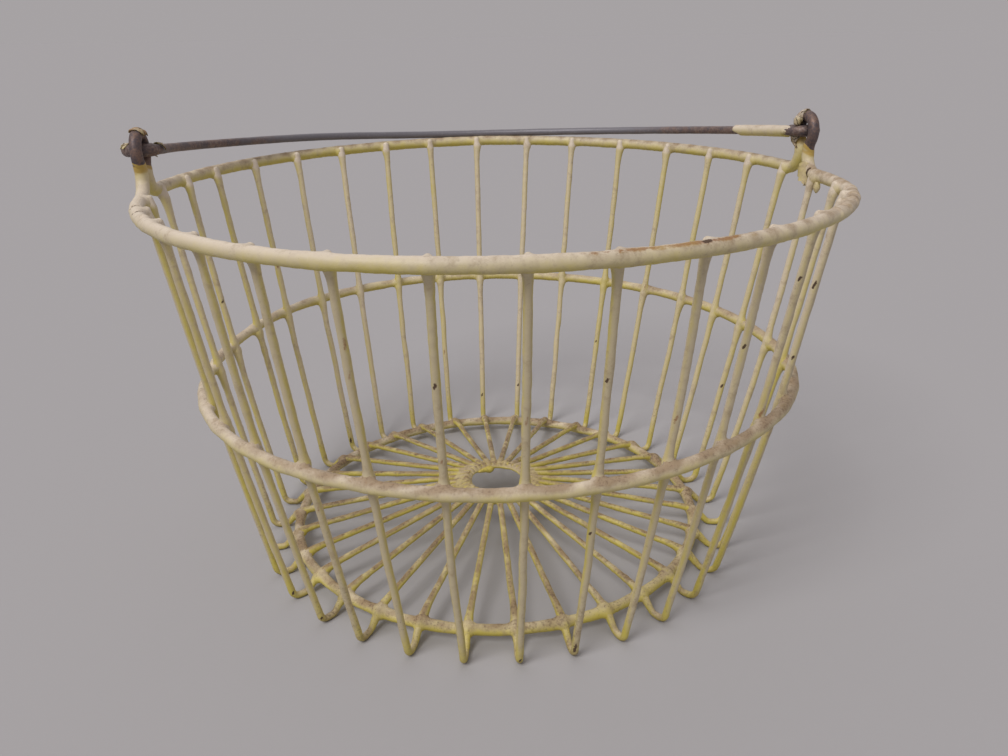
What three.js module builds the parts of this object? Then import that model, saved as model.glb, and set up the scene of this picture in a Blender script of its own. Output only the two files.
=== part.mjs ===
// Wire egg basket: a round, dip-coated wire basket on looped wire feet, with a swinging bail.
// Millimetres, +Z up. The origin is on the floor under the middle, and +X runs through the ears.
import * as THREE from 'three';

// Rim: a heavy wire ring with two ears bent out of the same wire.
const RIM_RADIUS = 187; // centre line of the ring
const RIM_WIRE = 7.4; // diameter over the coat
const RIM_HEIGHT = 218.6; // centre line above the floor
const EAR_RISE = 22.7; // pivot line above the rim's centre line
const EAR_NECK_GAP = 3.5; // between an ear's legs where they draw together
const EAR_CLEARANCE = 2.2; // play of the bail's wire in an ear's loop, on each side

// Staves: one wire each for a strip of wall, a foot and a floor spoke.
const STAVE_COUNT = 32;
const STAVE_WIRE = 4; // diameter over the coat
const STAVE_TURN = THREE.MathUtils.degToRad(2.2); // the ears stand this far off the middle between staves
const STAVE_PROUD = 3.2; // top end above the rim's centre line
const FOOT_BEND_RADIUS = 4.5; // centre line of the bends at the foot
const FOOT_FLAT = 2.4; // straight run that stands on the floor
const RISER_SLOPE = THREE.MathUtils.degToRad(60); // from the foot up to the base ring, above level
const FLOOR_RISE = 13; // a spoke's inner end above its crossing of the base ring
const SPOKE_TIP_GAP = 0.3; // between the inner ends of neighbouring spokes

// Rings that the staves are welded to.
const HOOP_WIRE = 5.5;
const HOOP_HEIGHT = 116.2;
const BASE_RING_RADIUS = 127;
const BASE_RING_WIRE = 6;
const BASE_RING_HEIGHT = 8;
const WASHER_BORE = 34; // diameter of the open centre hole
const WASHER_THICKNESS = 2.6;
const WASHER_LAP = 5; // how far the washer reaches under the spokes

// Bail: one bare wire with an eye at each end.
const BAIL_WIRE = 5;
const BAIL_LEG = 2.8; // straight stretch above each eye
const EYE_CLEARANCE = 1.8; // play of an eye round its ear, on each side
const EYE_END_GAP = 0.8; // between the end of an eye and the wire that it comes from

const SEAT_GAP = 0.3; // between pieces that touch

// How finely the round shapes are divided.
const STAVE_SIDES = 8;
const RIM_SIDES = 10;
const RING_SIDES = 8;
const BAIL_SIDES = 8;
const RING_STEPS = 2 * STAVE_COUNT;
const WASHER_STEPS = 32;
const BAIL_STEPS = 47;
const BEND_STEP = THREE.MathUtils.degToRad(22);

const rimWireRadius = RIM_WIRE / 2;
const staveWireRadius = STAVE_WIRE / 2;
const hoopWireRadius = HOOP_WIRE / 2;
const baseWireRadius = BASE_RING_WIRE / 2;
const bailWireRadius = BAIL_WIRE / 2;
const stavePitch = (2 * Math.PI) / STAVE_COUNT;

const coatMaterial = new THREE.MeshStandardMaterial({ color: '#d3c8a2', roughness: 0.5, metalness: 0 });
const spokeMaterial = new THREE.MeshStandardMaterial({ color: '#c9bb86', roughness: 0.55, metalness: 0 });
const steelMaterial = new THREE.MeshStandardMaterial({ color: '#4a4744', roughness: 0.5, metalness: 0.8 });

// A point of an outline at an angle on a circle.
function onCircle(centre, radius, angle) {
  return new THREE.Vector2(centre.x + radius * Math.cos(angle), centre.y + radius * Math.sin(angle));
}

// Points along an arc, both ends included.
function arc(centre, radius, from, to) {
  const steps = Math.max(1, Math.ceil(Math.abs(to - from) / BEND_STEP));
  const points = [];
  for (let i = 0; i <= steps; i += 1) {
    points.push(onCircle(centre, radius, from + ((to - from) * i) / steps));
  }
  return points;
}

// A round wire along straight stretches between points, mitred where they meet.
// sideAt gives the direction, across the wire, that one flat of the section faces.
function wire(points, radius, sides, sideAt, closed = false) {
  const count = points.length;
  const direction = (from, to) => new THREE.Vector3().subVectors(points[to], points[from]).normalize();
  const positions = [];
  points.forEach((point, i) => {
    const last = !closed && i === count - 1;
    const first = !closed && i === 0;
    const out = last ? direction(i - 1, i) : direction(i, (i + 1) % count);
    const into = first ? out : direction((i + count - 1) % count, i);
    const along = new THREE.Vector3().addVectors(into, out).normalize();
    const mitre = new THREE.Vector3().subVectors(out, into);
    const stretch = 1 / along.dot(out) - 1;
    mitre.normalize();
    const across = sideAt(i).clone().projectOnPlane(along).normalize();
    const other = new THREE.Vector3().crossVectors(along, across);
    for (let k = 0; k < sides; k += 1) {
      const angle = ((k + 0.5) * 2 * Math.PI) / sides;
      const offset = across.clone().multiplyScalar(radius * Math.cos(angle));
      offset.addScaledVector(other, radius * Math.sin(angle));
      offset.addScaledVector(mitre, stretch * offset.dot(mitre));
      positions.push(point.x + offset.x, point.y + offset.y, point.z + offset.z);
    }
  });
  const index = [];
  const spans = closed ? count : count - 1;
  for (let i = 0; i < spans; i += 1) {
    const here = i * sides;
    const next = ((i + 1) % count) * sides;
    for (let k = 0; k < sides; k += 1) {
      const turn = (k + 1) % sides;
      index.push(here + k, here + turn, next + turn);
      index.push(here + k, next + turn, next + k);
    }
  }
  if (!closed) {
    const end = (count - 1) * sides;
    for (let k = 1; k < sides - 1; k += 1) {
      index.push(0, k + 1, k);
      index.push(end, end + k, end + k + 1);
    }
  }
  const geometry = new THREE.BufferGeometry();
  geometry.setAttribute('position', new THREE.Float32BufferAttribute(positions, 3));
  geometry.setIndex(index);
  geometry.computeVertexNormals();
  return geometry;
}

function piece(name, geometry, material) {
  const mesh = new THREE.Mesh(geometry, material);
  mesh.name = name;
  return mesh;
}

// Ears: a loop with room for the bail's wire, on a neck that spreads into the rim.
const earLoopRadius = rimWireRadius + EAR_CLEARANCE + bailWireRadius;
const pivotHeight = RIM_HEIGHT + EAR_RISE;

// One ear, unrolled: x along the rim and y above it, from the rim on one side to the other.
// The bend on each side touches the rim, the neck's edge and the loop.
function earOutline() {
  const neck = rimWireRadius + EAR_NECK_GAP / 2;
  const reach = EAR_RISE + earLoopRadius - neck;
  const bendRadius = reach - Math.sqrt(reach ** 2 - (neck ** 2 + EAR_RISE ** 2 - earLoopRadius ** 2));
  const loop = new THREE.Vector2(0, EAR_RISE);
  const bend = new THREE.Vector2(neck + bendRadius, bendRadius);
  const meeting = new THREE.Vector2().subVectors(bend, loop).angle() - 2 * Math.PI;
  const half = [
    ...arc(bend, bendRadius, -Math.PI / 2, meeting - Math.PI),
    ...arc(loop, earLoopRadius, meeting, Math.PI / 2).slice(1),
  ];
  const mirrored = half.slice(0, -1).reverse();
  return [...half, ...mirrored.map((point) => new THREE.Vector2(-point.x, point.y))];
}

// Rim: the ear's outline and the plain runs between the ears, wrapped round the ring.
function rim() {
  const ear = earOutline();
  const halfPitch = stavePitch / 2;
  const runStart = ear[0].x / RIM_RADIUS + halfPitch / 4;
  const angles = [];
  const rises = [];
  for (const earAngle of [0, Math.PI]) {
    for (const point of ear.toReversed()) {
      angles.push(earAngle + point.x / RIM_RADIUS);
      rises.push(point.y);
    }
    for (let step = Math.ceil(runStart / halfPitch); step * halfPitch < Math.PI - runStart; step += 1) {
      angles.push(earAngle + step * halfPitch);
      rises.push(0);
    }
  }
  const outward = angles.map((angle) => new THREE.Vector3(Math.cos(angle), Math.sin(angle), 0));
  const points = outward.map((side, i) => {
    return side.clone().multiplyScalar(RIM_RADIUS).setZ(RIM_HEIGHT + rises[i]);
  });
  return piece('rim', wire(points, rimWireRadius, RIM_SIDES, (i) => outward[i], true), coatMaterial);
}

// Spokes: the inner ends meet side by side, so their number and thickness set how far in they go.
const spokeTipRadius = (staveWireRadius + SPOKE_TIP_GAP / 2) / Math.sin(stavePitch / 2);
const baseSeat = baseWireRadius + SEAT_GAP + staveWireRadius;
const baseCentre = new THREE.Vector2(BASE_RING_RADIUS, BASE_RING_HEIGHT);
const spokeRun = BASE_RING_RADIUS - spokeTipRadius;
const spokeSlope = Math.atan(FLOOR_RISE / spokeRun);

function spokeHeight(radius) {
  const crossing = BASE_RING_HEIGHT + baseSeat / Math.cos(spokeSlope);
  return crossing + (BASE_RING_RADIUS - radius) * Math.tan(spokeSlope);
}

// Foot: two bends with a short flat between them, hard up against the outside of the base ring.
const footHeight = staveWireRadius * Math.cos(Math.PI / STAVE_SIDES);
const bendHeight = footHeight + FOOT_BEND_RADIUS;
const riserOffset = FOOT_BEND_RADIUS + baseSeat + (BASE_RING_HEIGHT - bendHeight) * Math.cos(RISER_SLOPE);
const innerBend = new THREE.Vector2(BASE_RING_RADIUS + riserOffset / Math.sin(RISER_SLOPE), bendHeight);
const outerBend = new THREE.Vector2(innerBend.x + FOOT_FLAT, bendHeight);

// Wall: a straight line from the foot's outer bend that passes inside the rim's wire.
const rimSeat = rimWireRadius + SEAT_GAP + staveWireRadius;
const rimFromFoot = new THREE.Vector2(RIM_RADIUS, RIM_HEIGHT).sub(outerBend);
const wallAngle = rimFromFoot.angle() + Math.asin((FOOT_BEND_RADIUS + rimSeat) / rimFromFoot.length());

function wallRadius(height) {
  const level = outerBend.x + FOOT_BEND_RADIUS / Math.sin(wallAngle);
  return level + (height - bendHeight) / Math.tan(wallAngle);
}

// Stave centre line, as radius and height: down the wall, round the foot and in over the base ring.
function staveOutline() {
  const quarter = Math.PI / 2;
  const topHeight = RIM_HEIGHT + STAVE_PROUD;
  return [
    new THREE.Vector2(wallRadius(topHeight), topHeight),
    ...arc(outerBend, FOOT_BEND_RADIUS, wallAngle - quarter, -quarter),
    ...arc(innerBend, FOOT_BEND_RADIUS, -quarter, -quarter - RISER_SLOPE),
    ...arc(baseCentre, baseSeat, quarter - RISER_SLOPE, quarter - spokeSlope),
    new THREE.Vector2(spokeTipRadius, spokeHeight(spokeTipRadius)),
  ];
}

function staves() {
  const points = staveOutline().map((point) => new THREE.Vector3(point.x, 0, point.y));
  const acrossStave = new THREE.Vector3(0, 1, 0);
  const geometry = wire(points, staveWireRadius, STAVE_SIDES, () => acrossStave);
  const group = new THREE.Group();
  for (let i = 0; i < STAVE_COUNT; i += 1) {
    const number = String(i + 1).padStart(2, '0');
    const stave = piece(`stave_${number}`, geometry, spokeMaterial);
    stave.rotation.z = (i + 0.5) * stavePitch + STAVE_TURN;
    group.add(stave);
  }
  return group;
}

// Middle hoop: round the outside of the wall.
function middleHoop() {
  const hoopSeat = hoopWireRadius + SEAT_GAP + staveWireRadius;
  const radius = wallRadius(HOOP_HEIGHT) + hoopSeat / Math.sin(wallAngle);
  const hoop = piece(
    'middle_hoop',
    new THREE.TorusGeometry(radius, hoopWireRadius, RING_SIDES, RING_STEPS),
    coatMaterial,
  );
  hoop.position.z = HOOP_HEIGHT;
  hoop.rotation.z = STAVE_TURN;
  return hoop;
}

// Base ring: under the spokes, just inside the feet.
function baseRing() {
  const ring = piece(
    'base_ring',
    new THREE.TorusGeometry(BASE_RING_RADIUS, baseWireRadius, RING_SIDES, RING_STEPS),
    coatMaterial,
  );
  ring.position.z = BASE_RING_HEIGHT;
  ring.rotation.z = STAVE_TURN;
  return ring;
}

// Centre washer: a flat ring under the inner ends of the spokes.
function centreWasher() {
  const bore = WASHER_BORE / 2;
  const outer = spokeTipRadius + WASHER_LAP;
  const top = spokeHeight(outer) - staveWireRadius / Math.cos(spokeSlope) - SEAT_GAP;
  const bottom = top - WASHER_THICKNESS;
  const section = [
    new THREE.Vector2(bore, bottom),
    new THREE.Vector2(outer, bottom),
    new THREE.Vector2(outer, top),
    new THREE.Vector2(bore, top),
    new THREE.Vector2(bore, bottom),
  ];
  const washer = piece('centre_washer', new THREE.LatheGeometry(section, WASHER_STEPS), spokeMaterial);
  washer.rotation.x = Math.PI / 2;
  return washer;
}

// Bail: an arch between two eyes. It lies folded back, with its crown on top of the rim.
const eyeRadius = rimWireRadius + EYE_CLEARANCE + bailWireRadius;
const bailArchRadius = RIM_RADIUS - eyeRadius;
const bailReach = earLoopRadius + BAIL_LEG + bailArchRadius;

function bailRestAngle() {
  const rimDistance = Math.hypot(RIM_RADIUS, EAR_RISE);
  const crownSeat = rimWireRadius + SEAT_GAP + bailWireRadius;
  const cosine = (bailReach ** 2 + rimDistance ** 2 - crownSeat ** 2) / (2 * bailReach * rimDistance);
  return Math.atan2(EAR_RISE, RIM_RADIUS) - Math.acos(cosine);
}

function bail() {
  const eye = new THREE.Vector2(RIM_RADIUS, earLoopRadius);
  const archCentre = new THREE.Vector2(0, earLoopRadius + BAIL_LEG);
  const eyeEnd = Math.acos((BAIL_WIRE + EYE_END_GAP) / eyeRadius - 1);
  const half = arc(eye, eyeRadius, eyeEnd, -Math.PI);
  const outline = [...half];
  for (let i = 0; i <= BAIL_STEPS; i += 1) {
    outline.push(onCircle(archCentre, bailArchRadius, (Math.PI * i) / BAIL_STEPS));
  }
  outline.push(...half.toReversed().map((point) => new THREE.Vector2(-point.x, point.y)));
  const points = outline.map((point) => new THREE.Vector3(point.x, point.y, 0));
  const acrossBail = new THREE.Vector3(0, 0, 1);
  const mesh = piece('bail', wire(points, bailWireRadius, BAIL_SIDES, () => acrossBail), steelMaterial);
  mesh.position.z = pivotHeight;
  mesh.rotation.x = -bailRestAngle();
  return mesh;
}

const basket = new THREE.Group();
basket.add(rim(), middleHoop(), baseRing(), centreWasher(), staves(), bail());

export default basket;
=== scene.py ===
import math
from functools import partial

import bpy
import numpy as np
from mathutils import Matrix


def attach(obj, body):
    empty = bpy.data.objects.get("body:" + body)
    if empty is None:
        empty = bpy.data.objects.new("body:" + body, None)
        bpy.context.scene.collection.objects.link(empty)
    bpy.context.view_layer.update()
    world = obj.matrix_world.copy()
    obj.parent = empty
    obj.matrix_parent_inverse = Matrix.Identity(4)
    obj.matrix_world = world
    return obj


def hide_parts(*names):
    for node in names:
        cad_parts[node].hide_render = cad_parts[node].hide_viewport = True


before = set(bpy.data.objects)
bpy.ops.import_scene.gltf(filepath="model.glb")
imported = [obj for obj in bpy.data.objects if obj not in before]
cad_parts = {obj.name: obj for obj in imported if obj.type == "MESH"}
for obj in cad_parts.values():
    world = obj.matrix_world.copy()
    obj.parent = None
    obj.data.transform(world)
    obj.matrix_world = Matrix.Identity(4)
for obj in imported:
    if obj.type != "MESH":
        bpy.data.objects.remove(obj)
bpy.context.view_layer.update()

# Staves: hard steel wires, each bent into a strip of wall, a looped foot and a floor spoke.
# They are welded to every ring that they cross, and then the whole basket is dipped.
# The thick cream coat swells each wire and runs into a funnel at each weld.
MM = 0.001  # all sizes are in millimetres until a mesh is made
STAVE_COUNT = 32
FIRST_STAVE = 7.825  # degrees round from the right ear
STAVE_WIRE = 1.93  # radius over the coat
STAVE_SIDES = 14
STAVE_STEP = 1.4
STAVE_END = 1.4  # above the middle of the rim
STAVE_BOW = 0.35  # how far a wire wanders to the side
STAVE_LUMPS = 0.11
SPOKE_LUMPS = 0.08
SPOKE_THINNER = 0.08  # the coat drains off the floor
SPOKE_TIP = np.array([19.6, 26.94])
WALL_ANGLE = 80.72
WALL_LOW = 60  # a height low on the straight wall
WALL_EDGE = (136, 143)  # a spoke turns into wall between these radii
FOOT_BEND = 4.5
INNER_BEND = np.array([139.27, 6.35])
OUTER_BEND = np.array([141.67, 6.35])
BASE_SINK = 1.8  # how deep the staves are pressed into each ring
HOOP_SINK = 1.2
RIM_SINK = 1.4
TAPER_TIP = 0.5  # a run of coat starts inside the wire
STAVE_SPREAD = 0.9  # how widely the coat rounds out a corner
COAT_LIMIT = 2.6  # the most that it stands out at a weld
TOP_SHRINK = 0.45  # it sinks again over a stave's upper end

# The rings that the staves cross: radius, height and wire radius.
RIM = (187.0, 218.6, 3.42)
HOOP = (169.3, 116.2, 3.0)
BASE = (127.0, 8.0, 3.0)
BASE_SKIN = 0.4  # the staves' coat meets the base ring this deep in its own coat

# Years of use have pushed the rings out of true: stations round the basket in degrees,
# and how far the wire stands out and up there.
RIM_STATIONS = [0, 30, 84, 120, 150, 180, 228, 264, 290, 312, 324, 336, 348, 360]
RIM_OUT = [0.8, 0, 0, 0, 0, 0, 0, 0, 0, 1.0, 3.4, 4.8, 3.2, 0.8]
RIM_UP = [0, 0.2, 1.1, -0.5, -1.0, -0.5, 0, 0.9, 1.1, 0.8, 0.4, 0, 0, 0]
HOOP_STATIONS = [0, 24, 60, 100, 140, 160, 180, 192, 204, 228, 240, 290, 300, 312, 324, 336, 348, 360]
HOOP_OUT = [1.5, 0.3, 0, 0, 0, -0.3, -0.4, 1.2, 1.6, 1.2, 0.4, 0.5, 0.6, 2.1, 5.0, 5.8, 4.5, 1.5]
HOOP_UP = [0.5, 0.4, 0.6, 1.0, 0.8, -1.4, -2.4, -2.7, -2.8,
           -2.8, -2.4, -2.5, -2.2, -2.0, -1.6, -1.0, -0.3, 0.5]

# How far each stave stands to the side of its even place, in degrees, at foot, hoop and rim.
FOOT_LEAN = [0, -0.2, -0.6, 0, 0, 0.6, 0.4, 0, -0.4, 0.6, 0.4, 0.2, 0.5, 0.8, 0.3, 0.5,
             0, 0, -0.6, -0.3, -0.2, -0.2, 0, 0, 0.1, 0.2, 0.2, 0.2, 0.4, 0, 0, -0.4]
HOOP_LEAN = [-1.8, -2.6, -2.3, -2.0, -1.4, -0.5, -0.5, -0.3, -0.5, 0, -0.1, 0.3, 0.6, 1.0, 1.0, 1.6,
             -0.4, -1.0, -2.6, -2.4, -1.8, -1.2, -0.5, 0.4, 0.5, 1.6, 2.0, 2.6, 2.6, -0.8, -2.2, -3.0]
RIM_LEAN = [-3.0, -3.0, -3.0, -2.8, -1.8, -1.2, -1.4, -0.5, -0.5, -1.0, -1.0, -0.8, -0.2, 0.2, -0.8, -0.6,
            -1.5, -2.0, -2.8, -2.0, -1.6, -1.3, -0.1, 0.2, -0.1, 0.8, 1.5, 3.0, 3.0, -1.0, -3.0, -3.0]
LEAN_FOOT = 8  # a stave stands as at its foot up to this height
LEAN_RISE = 210
HOOP_SHARE = 0.514  # of that rise, up to the hoop
BULGE_EASE = 0.7
BULGE_TOP = 1.1

# Spots where the coat has chipped off a stave: stave, height and length.
# Patches where it has only rubbed brown are given in the same way.
# They lie on the side of the stave that shows from in front of the basket.
IN_FRONT = np.array([-61.0, -477.0])
STAVE_CHIPS = [(15, 145, 1.0), (23, 167, 1.6), (5, 72, 1.0), (25, 166, 1.0), (28, 191, 1.2), (29, 179, 2.0),
               (29, 140, 1.3), (27, 167, 1.1), (1, 74, 1.2), (25, 85, 1.2), (24, 5, 1.0), (25, 8, 3.2),
               (12, 9, 2.0), (20, 5, 1.1), (19, 6, 1.1), (8, 22, 1.4), (7, 30, 1.2)]
STAVE_RUBS = [(22, 182, 3.2), (22, 168, 2.2), (23, 130, 2.0), (24, 150, 2.4), (28, 120, 3.0), (21, 90, 2.5),
              (26, 140, 2.2), (30, 160, 3.0), (4, 120, 3.0), (9, 60, 2.5), (13, 150, 2.0)]
SPOT_STRETCH = 1.6
SPOT_WIDTH = 0.55
SPOT_SLANT = 0.3
SPOT_STRAY = 0.25  # to the left or the right of the stave's middle
RUB_STRENGTH = 0.7

# Where round the basket the light has bleached the wall most, and where most dust lies, in degrees.
BLEACHED_SIDE = 325
DUSTY_SIDE = 135

chance = np.random.default_rng(41)


def smooth_step(low, high, value):
    share = np.clip((value - low) / (high - low), 0, 1)
    return share * share * (3 - 2 * share)


# A bent ring eases from one station to the next.
def eased(angle, stations, sizes):
    degrees = np.arange(-20, 380)
    rough = np.interp(degrees % 360, stations, sizes)
    soft = np.hanning(17)
    smooth = np.convolve(rough, soft / soft.sum(), "same")
    return np.interp(np.degrees(angle) % 360, degrees, smooth)


def bend(centre, radius, start, stop, count=15):
    turn = np.radians(np.linspace(start, stop, count))
    return np.array(centre) + radius * np.stack([np.cos(turn), np.sin(turn)], -1)


def run_of(path):
    return np.concatenate([[0], np.cumsum(np.linalg.norm(np.diff(path, axis=0), axis=1))])


def spaced(path, step):
    run = run_of(path)
    at = np.linspace(0, run[-1], int(run[-1] / step) + 1)
    return np.stack([np.interp(at, run, column) for column in path.T], -1)


def wall_radius(height):
    rise = math.radians(WALL_ANGLE)
    return OUTER_BEND[0] + FOOT_BEND / math.sin(rise) + (height - OUTER_BEND[1]) / math.tan(rise)


pitch = 2 * math.pi / STAVE_COUNT
even_place = math.radians(FIRST_STAVE) + pitch * np.arange(STAVE_COUNT)
foot_lean, hoop_lean, rim_lean = (np.radians(row) for row in (FOOT_LEAN, HOOP_LEAN, RIM_LEAN))
hoop_out = eased(even_place + hoop_lean, HOOP_STATIONS, HOOP_OUT)
hoop_up = eased(even_place + hoop_lean, HOOP_STATIONS, HOOP_UP)
rim_out = eased(even_place + rim_lean, RIM_STATIONS, RIM_OUT)
rim_up = eased(even_place + rim_lean, RIM_STATIONS, RIM_UP)


# A stave is shaped in its own upright plane, as radius, side and height,
# and then set at its place round the basket with its lean and its bulge.
def on_wall(radius):
    return smooth_step(*WALL_EDGE, radius)


def stave_angle(number, radius, height):
    share = np.clip((height - LEAN_FOOT) / LEAN_RISE, 0, 1) * on_wall(radius)
    low = (share - HOOP_SHARE) * (share - 1) / HOOP_SHARE
    middle = share * (1 - share) / (HOOP_SHARE * (1 - HOOP_SHARE))
    high = share * (share - HOOP_SHARE) / (1 - HOOP_SHARE)
    angle = even_place[number] + low * foot_lean[number]
    return angle + middle * hoop_lean[number] + high * rim_lean[number]


def stave_bulge(number, radius, height):
    low = np.clip(height / HOOP[1], 0, 1) ** BULGE_EASE
    high = np.clip((height - HOOP[1]) / (RIM[1] - HOOP[1]), 0, BULGE_TOP)
    hoop_part = (hoop_out[number] + HOOP_SINK) * low * (1 - high)
    return on_wall(radius) * (hoop_part + (rim_out[number] + RIM_SINK) * high)


def to_world(points, number):
    radius, side, height = np.moveaxis(points, -1, 0)
    angle = stave_angle(number, radius, height)
    radius = radius + stave_bulge(number, radius, height)
    x = radius * np.cos(angle) - side * np.sin(angle)
    y = radius * np.sin(angle) + side * np.cos(angle)
    return np.stack([x, y, height], -1)


def to_stave(points):
    angle = np.arctan2(points[..., 1], points[..., 0])
    number = np.round((angle - even_place[0]) / pitch).astype(int) % STAVE_COUNT
    radius = np.hypot(points[..., 0], points[..., 1])
    away = angle - stave_angle(number, radius, points[..., 2])
    own_radius = radius * np.cos(away) - stave_bulge(number, radius, points[..., 2])
    return np.stack([own_radius, radius * np.sin(away), points[..., 2]], -1), number


# The centre line of one stave, as radius and height, from the low wall to the middle of the floor.
base_centre = np.array(BASE[:2])
base_seat = BASE[2] + STAVE_WIRE - BASE_SINK
to_base = base_centre - INNER_BEND
riser = math.degrees(
    math.atan2(to_base[1], -to_base[0]) + math.asin((FOOT_BEND + base_seat) / np.linalg.norm(to_base))
)
to_tip = SPOKE_TIP - base_centre
spoke_slope = math.degrees(
    math.atan2(to_tip[1], -to_tip[0]) - math.asin(base_seat / np.linalg.norm(to_tip))
)
low_line = np.concatenate([
    [[wall_radius(WALL_LOW), WALL_LOW]],
    bend(OUTER_BEND, FOOT_BEND, WALL_ANGLE - 90, -90),
    bend(INNER_BEND, FOOT_BEND, -90, -90 - riser),
    bend(base_centre, base_seat, 90 - riser, 90 - spoke_slope),
    [SPOKE_TIP],
])
spoke_line = low_line[-2:]


# Distances to the rings, to a bent line of wire and to a tapered run of coat.
def ring_distance(points, radius, height, wire):
    off = np.hypot(points[..., 0], points[..., 1]) - radius
    return np.hypot(off, points[..., 2] - height) - wire


def line_distance(points, line, wire=STAVE_WIRE):
    flat = points[..., [0, 2]]
    best = np.full(flat.shape[:-1], np.inf)
    for start, stop in zip(line[:-1], line[1:]):
        along = stop - start
        share = np.clip(((flat - start) @ along) / (along @ along), 0, 1)
        gap = flat - (start + share[..., None] * along)
        best = np.minimum(best, (gap ** 2).sum(-1))
    return np.sqrt(best + points[..., 1] ** 2) - wire


def taper_distance(points, taper):
    start, stop = taper[..., 0:3], taper[..., 3:6]
    along = stop - start
    share = np.clip(((points - start) * along).sum(-1) / (along ** 2).sum(-1), 0, 1)
    gap = points - start - share[..., None] * along
    return np.linalg.norm(gap, axis=-1) - taper[..., 6] - share * (taper[..., 7] - taper[..., 6])


# Tapers of coat for all staves, each from its thin end to its thick end:
# where both ends are, as radius, side and height, and then the radius of the coat at each.
def wall_tapers(thin_height, thick_height, thick, drift, shift):
    spots = np.zeros((STAVE_COUNT, 8))
    thin_height = thin_height + shift
    thick_height = thick_height + shift
    spots[:, 0], spots[:, 2] = wall_radius(thin_height), thin_height
    spots[:, 3], spots[:, 5] = wall_radius(thick_height) + 0.3, thick_height
    spots[:, 4] = np.clip(chance.normal(0, drift, STAVE_COUNT), -2 * drift, 2 * drift)
    spots[:, 6] = TAPER_TIP
    spots[:, 7] = chance.uniform(*thick, STAVE_COUNT)
    return spots


def floor_tapers(thin_end, thick_end, thick, drift):
    spots = np.zeros((STAVE_COUNT, 8))
    spots[:, [0, 2]] = thin_end
    spots[:, [3, 5]] = thick_end
    spots[:, 4] = chance.uniform(-drift, drift, STAVE_COUNT)
    spots[:, 6] = TAPER_TIP
    spots[:, 7] = chance.uniform(*thick, STAVE_COUNT)
    return spots


rim_funnels = wall_tapers(
    RIM[1] - chance.uniform(7, 12, STAVE_COUNT), RIM[1] - 3.0, (2.0, 2.9), 0.6, rim_up
)
hoop_webs = [
    wall_tapers(HOOP[1] - chance.uniform(7, 12, STAVE_COUNT), HOOP[1] - 2.6, (2.0, 2.7), 0.5, hoop_up),
    wall_tapers(HOOP[1] + chance.uniform(6, 10, STAVE_COUNT), HOOP[1] + 2.8, (1.9, 2.5), 0.4, hoop_up),
]
base_webs = [
    floor_tapers((116, 13.7), (123.6, 10.9), (1.3, 1.9), 0.6),
    floor_tapers((134.0, 4.7), (130.4, 8.0), (1.2, 1.8), 0.6),
]
stave_tops = RIM[1] + STAVE_END + rim_up
wall_wires = np.zeros((STAVE_COUNT, 8))
wall_wires[:, 0], wall_wires[:, 2] = wall_radius(WALL_LOW), WALL_LOW
wall_wires[:, 3], wall_wires[:, 5] = wall_radius(stave_tops), stave_tops
wall_wires[:, 6:] = STAVE_WIRE


# How far the coat stands off a wire where it runs into others, found by walking outward.
def coat_depth(points, outward, distances, spread, limit=COAT_LIMIT):
    walk_steps, walk_share = 6, 0.7
    depth = np.zeros(points.shape[:-1])
    for _ in range(walk_steps):
        moved = points + outward * depth[..., None]
        total = np.exp(-depth / spread)
        for distance in distances:
            total = total + np.exp(-np.clip(distance(moved), -5, 50) / spread)
        depth = np.clip(depth + walk_share * spread * np.log(total), 0, limit)
    return depth


# Slow unevenness of the coat along and round a wire.
def lumps(run, sides, size, seed):
    toss = np.random.default_rng(seed)
    shortest, longest = 4, 42
    turn = 2 * math.pi * np.arange(sides) / sides
    total = np.zeros((len(run), sides))
    for _ in range(10):
        wave = 2 * math.pi * run[:, None] / toss.uniform(shortest, longest)
        total += toss.uniform(0.3, 1) * np.sin(wave + toss.integers(0, 3) * turn + toss.uniform(0, 6.28))
    return size * total / 3


# A wire's ends are rounded off by a few more steps of its path with shrinking radius.
def rounded_ends(path, radius):
    swing = np.radians([25, 48, 66, 80])
    first = (path[0] - path[1]) / np.linalg.norm(path[0] - path[1])
    last = (path[-1] - path[-2]) / np.linalg.norm(path[-1] - path[-2])
    head = path[0] + first * (radius * np.sin(swing[::-1]))[:, None]
    tail = path[-1] + last * (radius * np.sin(swing))[:, None]
    shape = np.concatenate([np.cos(swing[::-1]), np.ones(len(path)), np.cos(swing)])
    return np.concatenate([head, path, tail]), radius * shape


# Outward directions for rings of points round a path.
def sweep(path, sides, across, closed=False):
    ahead = np.roll(path, -1, 0) - np.roll(path, 1, 0)
    if not closed:
        ahead[0] = path[1] - path[0]
        ahead[-1] = path[-1] - path[-2]
    ahead /= np.linalg.norm(ahead, axis=1, keepdims=True)
    first = across - (across * ahead).sum(1, keepdims=True) * ahead
    first /= np.linalg.norm(first, axis=1, keepdims=True)
    second = np.cross(ahead, first)
    turn = 2 * math.pi * np.arange(sides) / sides
    return first[:, None] * np.cos(turn)[:, None] + second[:, None] * np.sin(turn)[:, None]


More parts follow.
